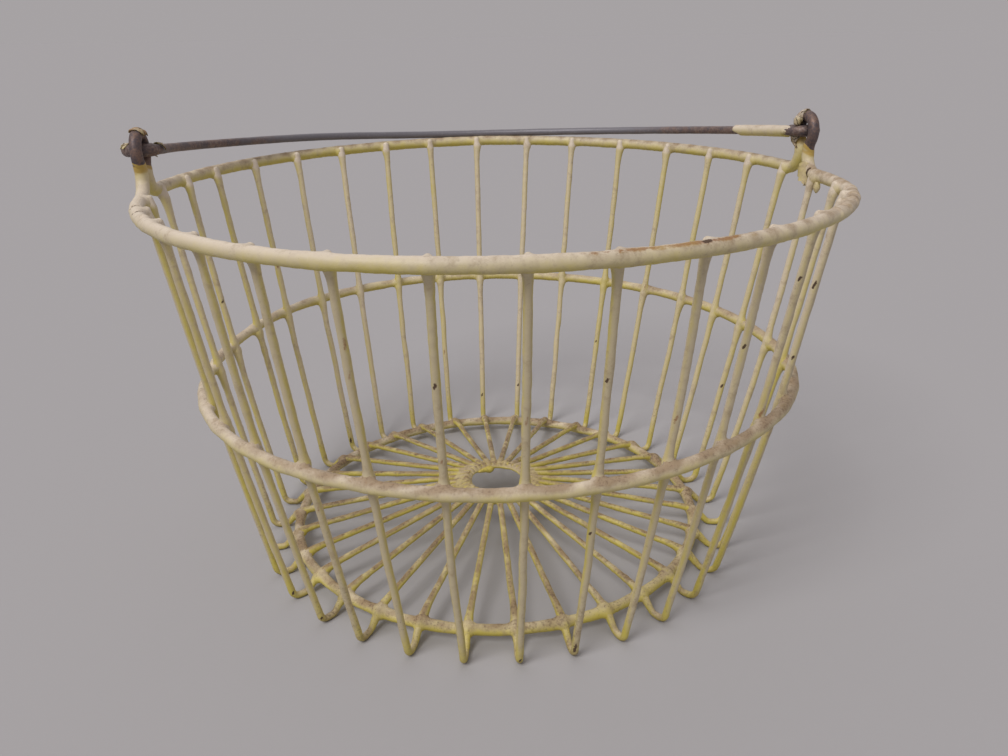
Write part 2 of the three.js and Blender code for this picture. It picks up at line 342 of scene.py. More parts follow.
# A mesh of rings of points, with the values that its material reads at each point.
def wire_mesh(name, rings, values, closed=False):
    rows, sides = rings.shape[:2]
    spans = rows if closed else rows - 1
    row, side = np.meshgrid(np.arange(spans), np.arange(sides), indexing="ij")
    here, there = row * sides, ((row + 1) % rows) * sides
    beside = (side + 1) % sides
    faces = np.stack([here + side, here + beside, there + beside, there + side], -1).reshape(-1, 4).tolist()
    if not closed:
        faces.append(list(range(sides))[::-1])
        faces.append(list(range((rows - 1) * sides, rows * sides)))
    mesh = bpy.data.meshes.new(name)
    mesh.from_pydata((rings.reshape(-1, 3) * MM).tolist(), [], faces)
    mesh.shade_smooth()
    for key, value in values.items():
        layer = mesh.attributes.new(key, "FLOAT", "POINT")
        layer.data.foreach_set("value", np.broadcast_to(value, (rows, sides)).ravel().astype(np.float32))
    piece = bpy.data.objects.new(name, mesh)
    bpy.context.collection.objects.link(piece)
    return piece


# One value or colour on its way through a material's nodes.
class Dye:
    def __init__(self, tree, socket=None):
        self.tree = tree
        self.socket = socket

    def feed(self, socket, value):
        if isinstance(value, Dye):
            self.tree.links.new(value.socket, socket)
        else:
            socket.default_value = value

    def node(self, kind, settings, sockets, output=0):
        made = self.tree.nodes.new(kind)
        for key, value in settings.items():
            setattr(made, key, value)
        for key, value in sockets.items():
            self.feed(made.inputs[key], value)
        return Dye(self.tree, made.outputs[output])

    def math(self, operation, first, second):
        return self.node("ShaderNodeMath", {"operation": operation}, {0: first, 1: second})

    def __add__(self, other):
        return self.math("ADD", self, other)

    def __radd__(self, other):
        return self.math("ADD", other, self)

    def __sub__(self, other):
        return self.math("SUBTRACT", self, other)

    def __rsub__(self, other):
        return self.math("SUBTRACT", other, self)

    def __mul__(self, other):
        return self.math("MULTIPLY", self, other)

    def __rmul__(self, other):
        return self.math("MULTIPLY", other, self)

    def step(self, low, high):
        sockets = {"Value": self, "From Min": low, "From Max": high}
        return self.node("ShaderNodeMapRange", {"interpolation_type": "SMOOTHSTEP"}, sockets)

    def mix(self, first, second):
        return self.node("ShaderNodeMix", {"data_type": "RGBA"}, {0: self, 6: first, 7: second}, 2)

    def value(self, name):
        return self.node("ShaderNodeAttribute", {"attribute_name": name}, {}, "Fac")

    def noise(self, scale, detail, roughness):
        place = self.node("ShaderNodeTexCoord", {}, {}, "Object")
        sockets = {"Vector": place, "Scale": scale, "Detail": detail, "Roughness": roughness}
        return self.node("ShaderNodeTexNoise", {}, sockets)


def paint(code):
    parts = [int(code[i:i + 2], 16) / 255 for i in (1, 3, 5)]
    return tuple(((c + 0.055) / 1.055) ** 2.4 if c > 0.04045 else c / 12.92 for c in parts) + (1.0,)


# Bare old steel, brown and grey by turns.
def steel_look(dye):
    patch = dye.noise(130, 5, 0.65)
    fine = dye.noise(800, 3, 0.6)
    colour = (patch + (fine - 0.5) * 0.6).step(0.35, 0.68).mix(paint("#574e52"), paint("#836a5e"))
    return colour, patch, fine


# Cream coat: yellow where it lies sheltered and greyed by handling outside; what faces up is painted paler,
# partly bleached and partly as painted light from above.
# Brown dust clings to what faces up, and chips and tears show the steel; the chip colour also paints the
# shade of the gap behind the right ear's torn flap.
def cream_coat():
    material = bpy.data.materials.new("cream_coat")
    material.use_nodes = True
    dye = Dye(material.node_tree)
    cloud = dye.noise(26, 4, 0.6)
    mottle = dye.noise(190, 5, 0.65)
    grain = dye.noise(900, 3, 0.6)
    specks = dye.noise(620, 4, 0.7)
    up, outer = dye.value("up"), dye.value("outer")
    dust, floor_coat = dye.value("dust"), dye.value("floor")
    # Painted light: faces that look up are made paler, as if lit from above, besides bleaching and random
    # tone.
    bleach_and_top_light = 0.32 + 0.42 * up - 0.2 * outer + 0.6 * (cloud - 0.5) + 0.4 * (mottle - 0.5) + dye.value("tint")
    colour = bleach_and_top_light.step(0.0, 0.95).mix(paint("#c6b754"), paint("#d8cab7"))
    greyed = (0.85 * outer + 0.8 * (cloud - 0.5) + 0.4 * (mottle - 0.5)).step(0.0, 0.8) * 0.85
    colour = greyed.mix(colour, paint("#c0b39b"))
    film = (dust + 0.8 * (mottle - 0.5) + 0.7 * (cloud - 0.5) + 0.4 * (grain - 0.5)).step(0.1, 0.95) * 0.9
    grime = floor_coat.mix(paint("#9c856a"), paint("#937a59"))
    colour = film.mix(colour, grime)
    stain = (mottle + 0.5 * cloud).step(0.76, 1.02) * 0.45
    colour = stain.mix(colour, paint("#a08d68"))
    crumbs = (specks + 0.09 * dust + 0.03 * floor_coat + 0.35 * (cloud - 0.5)).step(0.59, 0.75)
    crumbs = crumbs * (0.18 + 0.35 * dust + 0.22 * floor_coat)
    colour = crumbs.mix(colour, paint("#5f4935"))
    rust = (dye.value("rust") + 1.2 * (mottle - 0.5) + 0.6 * (grain - 0.5)).step(0.35, 0.75)
    colour = (rust * 0.8).mix(colour, paint("#8c5d37"))
    # The dark chip colour shows bare steel, and beside the right ear it also paints the shade of the gap
    # behind the torn flap.
    chip_and_shade = (dye.value("chip_and_shade") + 0.8 * (mottle - 0.5) + 0.7 * (grain - 0.5)).step(0.52, 0.7)
    colour = chip_and_shade.mix(colour, paint("#54402f"))
    edge = (dye.value("edge") + 0.5 * (mottle - 0.5)).step(0.2, 0.8) * 0.8
    colour = edge.mix(colour, paint("#b5943c"))
    steel, _, fine = steel_look(dye)
    torn = (dye.value("bare") + 0.4 * (fine - 0.5)).step(0.4, 0.6)
    colour = torn.mix(colour, steel)
    height = mottle * 0.7 + grain * 0.25 - chip_and_shade * 0.5
    normal = dye.node("ShaderNodeBump", {}, {"Strength": 0.45, "Distance": 0.0007, "Height": height})
    surface = material.node_tree.nodes["Principled BSDF"]
    dye.feed(surface.inputs["Base Color"], colour)
    dye.feed(surface.inputs["Roughness"], 0.42 + 0.2 * mottle + 0.15 * film + 0.1 * chip_and_shade)
    dye.feed(surface.inputs["Metallic"], torn * 0.45)
    dye.feed(surface.inputs["Normal"], normal)
    return material


coat = cream_coat()


def dress(piece, node):
    piece.data.materials.append(coat)
    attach(piece, "basket")
    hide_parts(node)


def next_spoke(points, number, side):
    turn = side * pitch + foot_lean[(number + side) % STAVE_COUNT] - foot_lean[number]
    angle = np.arctan2(points[..., 1], points[..., 0]) - turn
    radius = np.hypot(points[..., 0], points[..., 1])
    moved = np.stack([radius * np.cos(angle), radius * np.sin(angle), points[..., 2]], -1)
    return line_distance(moved, spoke_line)


# Everything that the coat of one stave runs into.
def around_stave(number):
    rim_height = RIM[1] + rim_up[number]
    hoop_height = HOOP[1] + hoop_up[number]
    all_tapers = (rim_funnels, *hoop_webs, *base_webs)
    return [
        *(partial(taper_distance, taper=tapers[number]) for tapers in all_tapers),
        partial(ring_distance, radius=RIM[0] - RIM_SINK, height=rim_height, wire=RIM[2]),
        partial(ring_distance, radius=HOOP[0] - HOOP_SINK, height=hoop_height, wire=HOOP[2]),
        partial(ring_distance, radius=BASE[0], height=BASE[1], wire=BASE[2] - BASE_SKIN),
        partial(next_spoke, number=number, side=1),
        partial(next_spoke, number=number, side=-1),
    ]


# Worn spots on one stave, as each point of it is seen from in front and stands to the side.
def spots_on(rings, outward, places, number):
    away = np.array([math.cos(even_place[number]), math.sin(even_place[number])])
    across = np.array([-away[1], away[0]])
    to_front = IN_FRONT - HOOP[0] * away
    to_front /= np.linalg.norm(to_front)
    to_right = np.array([-to_front[1], to_front[0]])
    seen = outward[..., 0] * (to_front @ away) + outward[..., 1] * (to_front @ across)
    side = outward[..., 0] * (to_right @ away) + outward[..., 1] * (to_right @ across)
    worn = np.zeros(rings.shape[:2])
    for stave, height, length in places:
        if stave == number + 1:
            above = (rings[..., 2] - height) / (SPOT_STRETCH * length)
            off = side - SPOT_STRAY * math.cos(height) - SPOT_SLANT * above
            spot = np.exp(-above ** 2 - (off / SPOT_WIDTH) ** 2) * smooth_step(0.1, 0.6, seen)
            worn = np.maximum(worn, spot)
    return worn


# What the coat of one stave has been through: light, grime, chips and rubs.
def stave_wear(number, rings, outward, run, floor_share, at_top):
    height, place = rings[..., 2], even_place[number]
    wall_share = 1 - floor_share
    bleached = 0.35 * max(0, math.cos(place - math.radians(BLEACHED_SIDE))) ** 6
    scuffed_foot = 0.9 * smooth_step(1.1, 0.0, height)
    foot_dirt = 0.32 * smooth_step(9, 1, height)
    dusty = 0.88 + 0.12 * np.cos(place - math.radians(DUSTY_SIDE))
    dusty = dusty * np.clip(0.9 + lumps(run, STAVE_SIDES, 0.42, 300 + number), 0.2, 1.25)
    dusty = dusty * (0.55 + 0.45 * smooth_step(WALL_EDGE[0], BASE[0], rings[..., 0]))
    floor_dust = np.clip(1.15 * outward[..., 2] - 0.1, 0, 1) * floor_share * dusty
    yellowed = 0.3 * np.maximum(floor_share, 0.7 * smooth_step(32, 6, height))
    return {
        "up": outward[..., 2],
        "outer": outward[..., 0] * wall_share * (0.3 + 0.7 * smooth_step(4, 24, height)),
        "dust": floor_dust + 0.12 * wall_share + foot_dirt,
        "floor": smooth_step(WALL_LOW, 30, height),
        "chip_and_shade": np.maximum(scuffed_foot, spots_on(rings, outward, STAVE_CHIPS, number) * wall_share),
        "rust": RUB_STRENGTH * spots_on(rings, outward, STAVE_RUBS, number) * wall_share,
        "tint": (chance.uniform(-0.1, 0.1) + 0.55 * at_top - yellowed
                 + bleached * smooth_step(100, 150, height)),
    }


for number in range(STAVE_COUNT):
    top = stave_tops[number]
    line = spaced(np.concatenate([[[wall_radius(top), top]], low_line[1:]]), STAVE_STEP)
    path = np.stack([line[:, 0], np.zeros(len(line)), line[:, 1]], -1)
    run = run_of(path)
    path[:, 1] += lumps(run / 6, 1, STAVE_BOW, 900 + number)[:, 0] * np.sin(math.pi * run / run[-1])
    path, radius = rounded_ends(path, STAVE_WIRE)
    radius = radius * (1 - SPOKE_THINNER * (1 - on_wall(path[:, 0])))
    run = run_of(path)
    outward = sweep(path, STAVE_SIDES, np.array([[0.0, 1.0, 0.0]]))
    rings = path[:, None] + outward * radius[:, None, None]
    depth = coat_depth(rings, outward, around_stave(number), STAVE_SPREAD)
    at_top = smooth_step(-4.5, -0.5, rings[..., 2] - RIM[1] - rim_up[number])
    depth = depth * (1 - TOP_SHRINK * at_top)
    floor_share = 1 - on_wall(rings[..., 0])
    rough = STAVE_LUMPS * lumps(run, STAVE_SIDES, 1, 100 + number)
    rough = rough + SPOKE_LUMPS * floor_share * lumps(run * 4, STAVE_SIDES, 1, 500 + number)
    uneven = rough * (radius / STAVE_WIRE)[:, None]
    rings = rings + outward * (depth + uneven)[..., None]
    wear = stave_wear(number, rings, outward, run, floor_share, at_top)
    stave = wire_mesh(f"stave_{number + 1:02d}_wire", to_world(rings, number), wear)
    dress(stave, f"stave_{number + 1:02d}")

# Base ring: a heavy ring of coated wire under the floor, just inside the feet.
# The staves are pressed and welded over it, and dust has settled along its upper side.
RING_SIDES = 16
RING_SPREAD = 1.0
RING_LUMPS = 0.2
RING_SMUDGE = 0.42
SEAM_EASE = 0.3  # unevenness dies out where a ring's two ends meet
BASE_STEP = 1.6
BASE_BENDS = ([0, 168, 192, 216, 360], [0, 0, 1.5, 0.8, 0], [0, 0, 0, 0, 0])
BASE_LOOK = {
    "stations": [0, 60, 120, 200, 250, 300, 340, 360],
    "dust": [0.85, 0.8, 0.95, 0.8, 0.65, 0.4, 0.7, 0.85],
    "rust": [0, 0, 0, 0, 0, 0, 0, 0],
    "tint": [-0.05, 0.05, 0.1, 0, -0.18, -0.3, -0.15, -0.05],
    "grey": 0.0,
    "floor": 1.0,
}


# A ring with its bends as stations, out and up, and the wires and webs that its coat runs into.
def ring_piece(name, ring, step, bends, gaps, thicker, look):
    stations, out, up = bends
    count = int(2 * math.pi * ring[0] / step)
    angle = 2 * math.pi * np.arange(count) / count
    radial = np.stack([np.cos(angle), np.sin(angle), np.zeros(count)], -1)
    path = radial * (ring[0] + eased(angle, stations, out))[:, None]
    path[:, 2] = ring[1] + eased(angle, stations, up)
    outward = sweep(path, RING_SIDES, radial, closed=True)
    wire = ring[2] + thicker * (0.5 - 0.5 * np.sin(angle))
    rings = path[:, None] + outward * wire[:, None, None]
    depth = coat_depth(rings, outward, gaps, RING_SPREAD)
    seam = (np.sin(angle / 2) ** SEAM_EASE)[:, None]
    uneven = lumps(angle * ring[0], RING_SIDES, RING_LUMPS, 23) * seam
    smudge = np.clip(0.9 + lumps(angle * ring[0], RING_SIDES, RING_SMUDGE, 56) * seam, 0.15, 1.25)
    rings = rings + outward * (depth + uneven)[..., None]
    above = np.clip(outward[..., 2] + 0.2, 0, 1)
    place = np.broadcast_to(angle[:, None], above.shape)
    return wire_mesh(name, rings, {
        "up": outward[..., 2],
        "outer": look["grey"] * (outward * radial[:, None]).sum(-1),
        "dust": above * smudge * eased(place, look["stations"], look["dust"]),
        "rust": above * eased(place, look["stations"], look["rust"]),
        "tint": eased(place, look["stations"], look["tint"]),
        "floor": look["floor"],
    }, closed=True)


def gap_to(tapers):
    def gap(points):
        own, number = to_stave(points)
        return taper_distance(own, tapers[number])
    return gap


def low_gap(points):
    own, _ = to_stave(points)
    return line_distance(own, low_line)


base_gaps = [low_gap, *map(gap_to, base_webs)]
base_ring = ring_piece("base_ring_wire", BASE, BASE_STEP, BASE_BENDS, base_gaps, 0.0, BASE_LOOK)
dress(base_ring, "base_ring")

# Middle hoop: a lighter ring of coated wire, welded round the outside of the wall, halfway up.
# Its coat is grimy on top, most of all at the front, and webs fill the corners at each stave.
HOOP_STEP = 1.5
HOOP_THICKER = 0.25  # the coat is thicker at the front
HOOP_LOOK = {
    "stations": [0, 90, 180, 205, 225, 250, 275, 310, 360],
    "dust": [0.8, 0.55, 0.45, 0.4, 0.78, 0.88, 0.9, 0.9, 0.8],
    "rust": [0.05, 0.05, 0.0, 0.05, 0.3, 0.28, 0.1, 0.05, 0.05],
    "tint": [-0.1, -0.1, 0.1, 0.25, 0.2, 0.22, 0.22, 0.1, -0.1],
    "grey": 0.45,
    "floor": 0.0,
}
hoop_bends = (HOOP_STATIONS, HOOP_OUT, HOOP_UP)
hoop_gaps = [gap_to(wall_wires), *map(gap_to, hoop_webs)]
middle_hoop = ring_piece("middle_hoop_wire", HOOP, HOOP_STEP, hoop_bends, hoop_gaps, HOOP_THICKER, HOOP_LOOK)
dress(middle_hoop, "middle_hoop")

# Centre washer: a flat steel ring under the inner ends of the spokes, round an open hole.
# The coat has flooded the gaps between the spokes' ends and made one ridged disc of them.
WASHER_INNER = 16.5
WASHER_OUTER = 27.5
WASHER_HALF = 1.4
WASHER_DROP = 1.95  # its middle below the spokes' ends
WASHER_STEPS = 320
WASHER_SIDES = 28
WASHER_SQUARE = 0.6
WASHER_SPREAD = 0.85
WASHER_LIMIT = 2.2
washer_half_width = (WASHER_OUTER - WASHER_INNER) / 2
washer_turn = 2 * math.pi * np.arange(WASHER_SIDES) / WASHER_SIDES
squared = np.sign(np.cos(washer_turn)) * np.abs(np.cos(washer_turn)) ** WASHER_SQUARE
washer_angle = 2 * math.pi * np.arange(WASHER_STEPS) / WASHER_STEPS
washer_run = washer_angle * 24
washer_seam = np.sin(washer_angle / 2) ** SEAM_EASE
washer_radial = np.stack([np.cos(washer_angle), np.sin(washer_angle), np.zeros(WASHER_STEPS)], -1)
upright = np.array([0.0, 0.0, 1.0])
washer_wave = lumps(washer_run, 1, 0.35, 3)[:, 0] * washer_seam
washer_middle = washer_radial * (WASHER_INNER + washer_half_width + washer_wave)[:, None]
washer_middle = washer_middle + upright * (SPOKE_TIP[1] - WASHER_DROP)
washer_tilt = -squared * washer_half_width * math.tan(math.radians(spoke_slope))
washer_rings = (
    washer_middle[:, None]
    + washer_radial[:, None] * (squared * washer_half_width)[:, None]
    + upright * (np.sin(washer_turn) * WASHER_HALF + washer_tilt)[:, None]
)
slant = np.stack([squared * 0.35, np.sin(washer_turn)], -1)
slant /= np.linalg.norm(slant, axis=1, keepdims=True)
washer_out = washer_radial[:, None] * slant[:, :1] + upright * slant[:, 1:]


def spoke_gap(points):
    own, _ = to_stave(points)
    return line_distance(own, spoke_line)


washer_depth = coat_depth(washer_rings, washer_out, [spoke_gap], WASHER_SPREAD, WASHER_LIMIT)
washer_uneven = lumps(washer_run, WASHER_SIDES, 0.22, 12) * washer_seam[:, None]
washer_rings = washer_rings + washer_out * (washer_depth + washer_uneven)[..., None]
washer = wire_mesh("centre_washer_plate", washer_rings, {
    "up": washer_out[..., 2],
    "dust": np.clip(washer_out[..., 2], 0, 1) * 0.6,
    "tint": -0.25 + 0.1 * np.sin(washer_angle * 3)[:, None],
    "floor": 1.0,
}, closed=True)
dress(washer, "centre_washer")

# Rim: one heavy wire bent into a ring, with an ear looped up out of it at each side.
# The coat is thick and pale on top, lumpy over the ends of the staves, wrinkled beside the ears
# and torn off their loops, where the bare wire is dark with age.
EAR_RISE = 22.7
EAR_LOOP = 8.4
EAR_NECK = 4.7
EAR_STEEL = 3.1
EAR_STEP = 0.7
EAR_TRUE = 0.25  # the rim's bends die out this near to an ear, as a sine
RIM_SIDES = 22
RIM_STEP = 0.8
RIM_SPREAD = 1.05
RIM_LUMPS = 0.15
RIM_SMUDGE = 0.45
NECK_SPREAD = 1.5
NECK_LIMIT = 2.0
OFF_EAR = 99  # stands for every place on the rim that isn't on an ear
TEAR_RISE = 11.8  # the lowest that the coat is torn
TEAR_JAG = 1.7
RIM_WRINKLES = [195.5, 200, 205, 317, 321, 326.5, 331, 337.5]  # degrees round
CRACKED_WRINKLES = [195.5, 200]
RUST_CRACK = 288.5  # degrees round
RUST_CRACK_REACH = 3.5
# A split in the coat beside the right ear, painted dark both as bare steel and as painted shade of the gap
# behind the hanging flap.
SPLIT_SHADE_PLACE = -12.5  # along the right ear
SPLIT_SHADE_REACH = 1.6
RIM_LOOK = {
    "stations": [0, 25, 60, 120, 160, 190, 230, 270, 278, 291, 300, 330, 360],
    "rust": [0.1, 0.25, 0.15, 0.15, 0.1, 0, 0, 0.1, 0.8, 0.85, 0.15, 0.1, 0.1],
    "dust": [0.6, 0.65, 0.5, 0.65, 0.6, 0.2, 0.2, 0.25, 0.35, 0.45, 0.5, 0.58, 0.65],
    "tint": [0.1, 0, 0, -0.1, 0, 0.35, 0.3, 0.15, 0.1, 0.1, 0.2, 0.35, 0.1],
}
ear_reach = EAR_RISE + EAR_LOOP - EAR_NECK
ear_bend = ear_reach - math.sqrt(ear_reach ** 2 - (EAR_NECK ** 2 + EAR_RISE ** 2 - EAR_LOOP ** 2))
bend_centre = np.array([EAR_NECK + ear_bend, ear_bend])
meeting = math.degrees(math.atan2(bend_centre[1] - EAR_RISE, bend_centre[0]))
half_ear = np.concatenate([
    bend(bend_centre, ear_bend, -90, meeting - 180),
    bend((0, EAR_RISE), EAR_LOOP, meeting, 90)[1:],
])
ear_line = spaced(np.concatenate([half_ear * [-1, 1], half_ear[-2::-1]]), EAR_STEP)
ear_turn = ear_line[:, 0] / RIM[0]
ear_end = ear_turn[-1]
plain = np.linspace(ear_end, math.pi - ear_end, int((math.pi - 2 * ear_end) * RIM[0] / RIM_STEP))[1:-1]
off_ear = np.full(len(plain), OFF_EAR)
rim_along = np.concatenate([ear_line[:, 0], off_ear, ear_line[:, 0], off_ear])
rim_rise = np.concatenate([ear_line[:, 1], 0 * plain, ear_line[:, 1], 0 * plain])
rim_angle = np.concatenate([ear_turn, plain, math.pi + ear_turn, math.pi + plain])
rim_radial = np.stack([np.cos(rim_angle), np.sin(rim_angle), np.zeros(len(rim_angle))], -1)
bent = np.minimum(np.abs(np.sin(rim_angle)) / EAR_TRUE, 1)
rim_path = rim_radial * (RIM[0] + bent * eased(rim_angle, RIM_STATIONS, RIM_OUT))[:, None]
rim_path[:, 2] = RIM[1] + rim_rise + bent * eased(rim_angle, RIM_STATIONS, RIM_UP)
rim_outward = sweep(rim_path, RIM_SIDES, rim_radial, closed=True)
rim_run = run_of(rim_path)
rim_seam = np.minimum(1, np.minimum(rim_run, rim_run[-1] - rim_run) / 6)[:, None]

# More coat is left on one leg of each ear than on the other, and on the inside of the right one.
inside = -(rim_outward * rim_radial[:, None]).sum(-1)
right_ear = rim_path[:, :1] > 0
far_leg = rim_along[:, None] > 0.4
kept_right = np.where(far_leg, 7, 1 + 3 * np.clip(inside, 0, 1))
kept = np.where(right_ear, kept_right, np.where(far_leg, 4.5, 3))
ragged = lumps(rim_run * 2.2, RIM_SIDES, TEAR_JAG, 55) * rim_seam
tear = rim_rise[:, None] + ragged - TEAR_RISE - kept
bare = smooth_step(-0.8, 0.8, tear)
rim_wire = RIM[2] - (RIM[2] - EAR_STEEL) * bare
rim_rings = rim_path[:, None] + rim_outward * rim_wire[..., None]


# The coat fills the neck between the two legs of an ear.
def other_leg(points):
    side = np.where(points[..., 0] > 0, 1, -1)
    along = points[..., 1] * side
    off = np.hypot(points[..., 0], points[..., 1]) - RIM[0]
    mirrored = np.stack([np.abs(along), off, points[..., 2] - RIM[1]], -1)
    other = mirrored * [-1, 1, 1]
    return line_distance(other, half_ear, RIM[2] - 0.2)


rim_depth = coat_depth(rim_rings, rim_outward, [gap_to(wall_wires), gap_to(rim_funnels)], RIM_SPREAD)
neck_depth = coat_depth(rim_rings, rim_outward, [other_leg], NECK_SPREAD, NECK_LIMIT)
neck_depth = neck_depth * smooth_step(22, 10, rim_rise)[:, None]
neck_depth = neck_depth * smooth_step(25, 18, np.abs(rim_along))[:, None]
rim_uneven = lumps(rim_run, RIM_SIDES, RIM_LUMPS, 31) * (1 - 0.75 * bare) * rim_seam
rim_cracks = np.zeros(rim_uneven.shape)
upper = smooth_step(-0.4, 0.3, rim_outward[..., 2])
for wrinkle in RIM_WRINKLES:
    past = RIM[0] * (rim_angle - math.radians(wrinkle))[:, None] + 0.9 * np.sin(2.3 * inside + wrinkle)
    past = past if wrinkle > 270 else -past
    crease = 0.45 * np.exp(-((past - 1.9) / 1.1) ** 2) - 0.6 * np.exp(-(past / 1.0) ** 2)
    rim_uneven = rim_uneven + crease * upper
    if wrinkle in CRACKED_WRINKLES:
        rim_cracks = np.maximum(rim_cracks, np.exp(-((past - 0.4) / 1.0) ** 2) * upper)
rim_coat = np.maximum(rim_depth, neck_depth) * (1 - bare) + rim_uneven
rim_rings = rim_rings + rim_outward * rim_coat[..., None]

# A streak of rust runs along the top at the right front, with a crack down to the steel in it.
rim_above = np.clip(rim_outward[..., 2] + 0.15, 0, 1)
rim_place = np.broadcast_to(rim_angle[:, None], rim_above.shape)
rust_share, dust_share, rim_tint = (
    eased(rim_place, RIM_LOOK["stations"], RIM_LOOK[key]) for key in ("rust", "dust", "tint")
)
front_top = 0.9 * rim_outward[..., 2] - 0.35 * inside
rust_streak = rust_share * smooth_step(0.84, 0.97, front_top) * (0.95 + lumps(rim_run, RIM_SIDES, 0.35, 61))
rust_flecks = 0.4 * rust_share * smooth_step(0.87, 0.97, front_top)
crack_along = RIM[0] * (rim_angle - math.radians(RUST_CRACK)) / RUST_CRACK_REACH
rust_crack = np.exp(-crack_along ** 2)[:, None] * smooth_step(0.86, 0.95, front_top)
rust_halo = 0.5 * rust_share * smooth_step(0.7, 0.93, front_top) * (1 - rust_crack)
# Beside the right ear, on the inside under the hanging flap, a dark patch: partly the coat split to the
# steel, partly painted shade of the gap behind the flap.
split_shade_along = (rim_along - SPLIT_SHADE_PLACE) / SPLIT_SHADE_REACH
rim_split_and_gap_shade = np.exp(-split_shade_along ** 2)[:, None] * smooth_step(0.1, 0.6, inside) * right_ear
rim_smudge = np.clip(1 + lumps(rim_run, RIM_SIDES, RIM_SMUDGE, 71) * rim_seam, 0.2, 1.5)
torn_edge = smooth_step(-6, -0.5, tear) * (rim_rise > 4)[:, None]
rim = wire_mesh("rim_wire", rim_rings, {
    "up": rim_outward[..., 2],
    "outer": -0.45 * inside,
    "dust": rim_above * rim_smudge * dust_share,
    "rust": rust_streak,
    "chip_and_shade": np.max([0.66 * rim_cracks, rust_crack, rust_flecks, rim_split_and_gap_shade], axis=0),
    "tint": rim_tint,
    "bare": bare,
    "edge": np.maximum(torn_edge, rust_halo),
}, closed=True)
dress(rim, "rim")

# Torn coat at the ears: what is left of the skin that once bridged the loops, stiff and ragged.
# It clings to the bare wire, and a flap and a drip of it hang where the right ear leaves the rim.
# One more drip of coat hangs in the centre hole.
SKIN_STEP = 0.6
SKIN_COLUMNS = 18
SKIN_THICK = 0.55
FLAP_THICK = 0.6
DRIP_SIDES = 12
HOLE_LIP = 15.8


# A curled scrap of coat along a path: how far off and how thick it is, the part of a turn that
# it covers, how jagged its sides and ends are, how it narrows and how it lifts towards its end.
def torn_shell(name, path, across, inner, thick, start, stop, jag, seed, values,
               taper=None, flare=0.0, fray=1.4):
    toss = np.random.default_rng(seed)
    path = spaced(path, SKIN_STEP)
    rows = len(path)
    frames = sweep(path, 4, across)
    share = np.linspace(0, 1, rows)
    column = np.linspace(0, 1, SKIN_COLUMNS)
    if taper is None:
        pinch = 0.55 + 0.45 * np.sin(0.25 + 2.64 * share)
    else:
        pinch = np.interp(share, np.linspace(0, 1, len(taper)), taper)
    middle, half = (start + stop) / 2, (stop - start) / 2
    low = middle - half * pinch + toss.normal(0, jag, rows)
    high = middle + half * pinch + toss.normal(0, jag, rows)
    turn = np.radians(low[:, None] + (high - low)[:, None] * column)
    outward = frames[:, :1] * np.cos(turn)[..., None] + frames[:, 1:2] * np.sin(turn)[..., None]
    lift = (0.25 + 0.25 * np.sin(9 * share))[:, None] * np.abs(np.linspace(-1, 1, SKIN_COLUMNS)) ** 2
    lift = lift + flare * share[:, None]
    ahead = np.gradient(path, axis=0)
    ahead /= np.linalg.norm(ahead, axis=1, keepdims=True)
    wave = column * toss.uniform(9, 14, (2, 1)) + toss.uniform(0, 6, (2, 1))
    start_fray, stop_fray = fray * (0.5 + 0.5 * np.sin(wave))
    slide = start_fray * (1 - share)[:, None] - stop_fray * share[:, None]
    places = path[:, None] + ahead[:, None] * slide[..., None]
    inner_face = places + outward * (inner + lift)[..., None]
    outer_face = places + outward * (inner + lift + thick)[..., None]
    rings = np.concatenate([outer_face, inner_face[:, ::-1]], 1)
    facing = np.concatenate([outward, -outward[:, ::-1]], 1)
    return wire_mesh(name, rings, {"up": facing[..., 2], **values})


def skin(piece):
    piece.data.materials.append(coat)
    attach(piece, "basket")


def ear_path(side, start, stop):
    y, z = bend((0, RIM[1] + EAR_RISE), EAR_LOOP, start, stop, 14).T
    return np.stack([np.full(len(y), side * RIM[0]), y, z], -1)


def drip(name, path, sizes, across, values):
    outward = sweep(path, DRIP_SIDES, across)
    skin(wire_mesh(name, path[:, None] + outward * sizes[:, None, None], {"up": outward[..., 2], **values}))


sideways = np.array([[1.0, 0.0, 0.0]])
skin(torn_shell("left_ear_skin", ear_path(-1, 40, 112), sideways, EAR_STEEL + 0.05, SKIN_THICK, 10, 175,
                jag=20, seed=5, values={"dust": 0.7, "rust": 0.5, "edge": 0.3}))
skin(torn_shell("right_ear_skin", ear_path(1, 22, 92), sideways, EAR_STEEL + 1.3, SKIN_THICK, 40, 235,
                jag=16, seed=8, values={"dust": 0.4, "rust": 0.35, "tint": 0.4}, flare=-1.2, fray=3.0))
skin(torn_shell("right_ear_shard", ear_path(1, -74, -20), sideways, EAR_STEEL + 0.4, SKIN_THICK, 50, 215,
                jag=16, seed=9, values={"dust": 0.4, "rust": 0.4, "tint": 0.4}, flare=1.2, fray=3.0))
flap_path = np.linspace([186.4, -6.0, 224.0], [184.4, -9.2, 210.5], 12)
flap_across = np.array([[-0.46, -0.87, 0.0]])
skin(torn_shell("right_ear_flap", flap_path, flap_across, 3.6, FLAP_THICK, -95, 90, jag=12, seed=11,
                values={"dust": 0.45, "rust": 0.15}, taper=(0.75, 1, 0.9, 0.5, 0.1), fray=0.8))
drip_size = np.array([1.2, 1.6, 1.9, 2.0, 1.8, 1.3, 0.5])
drip_path = np.linspace([184.3, -25, 216], [184.3, -25, 209.6], len(drip_size))
drip("rim_drip", drip_path, drip_size, sideways, {"tint": 0.1, "dust": 0.2})
lump_size = np.array([0.5, 1.0, 1.3, 1.5, 1.8, 2.3, 2.4, 1.8, 0.6])
lump_x = np.linspace(-10.5, 0.5, len(lump_size))
lump_y = np.sqrt(HOLE_LIP ** 2 - lump_x ** 2)
lump_path = np.stack([lump_x, lump_y, SPOKE_TIP[1] - 1.1 - 0.3 * lump_size], -1)
drip("centre_drip", lump_path, lump_size, upright[None],
     {"tint": -0.7, "dust": 0.35, "floor": 1.0, "edge": 0.35})

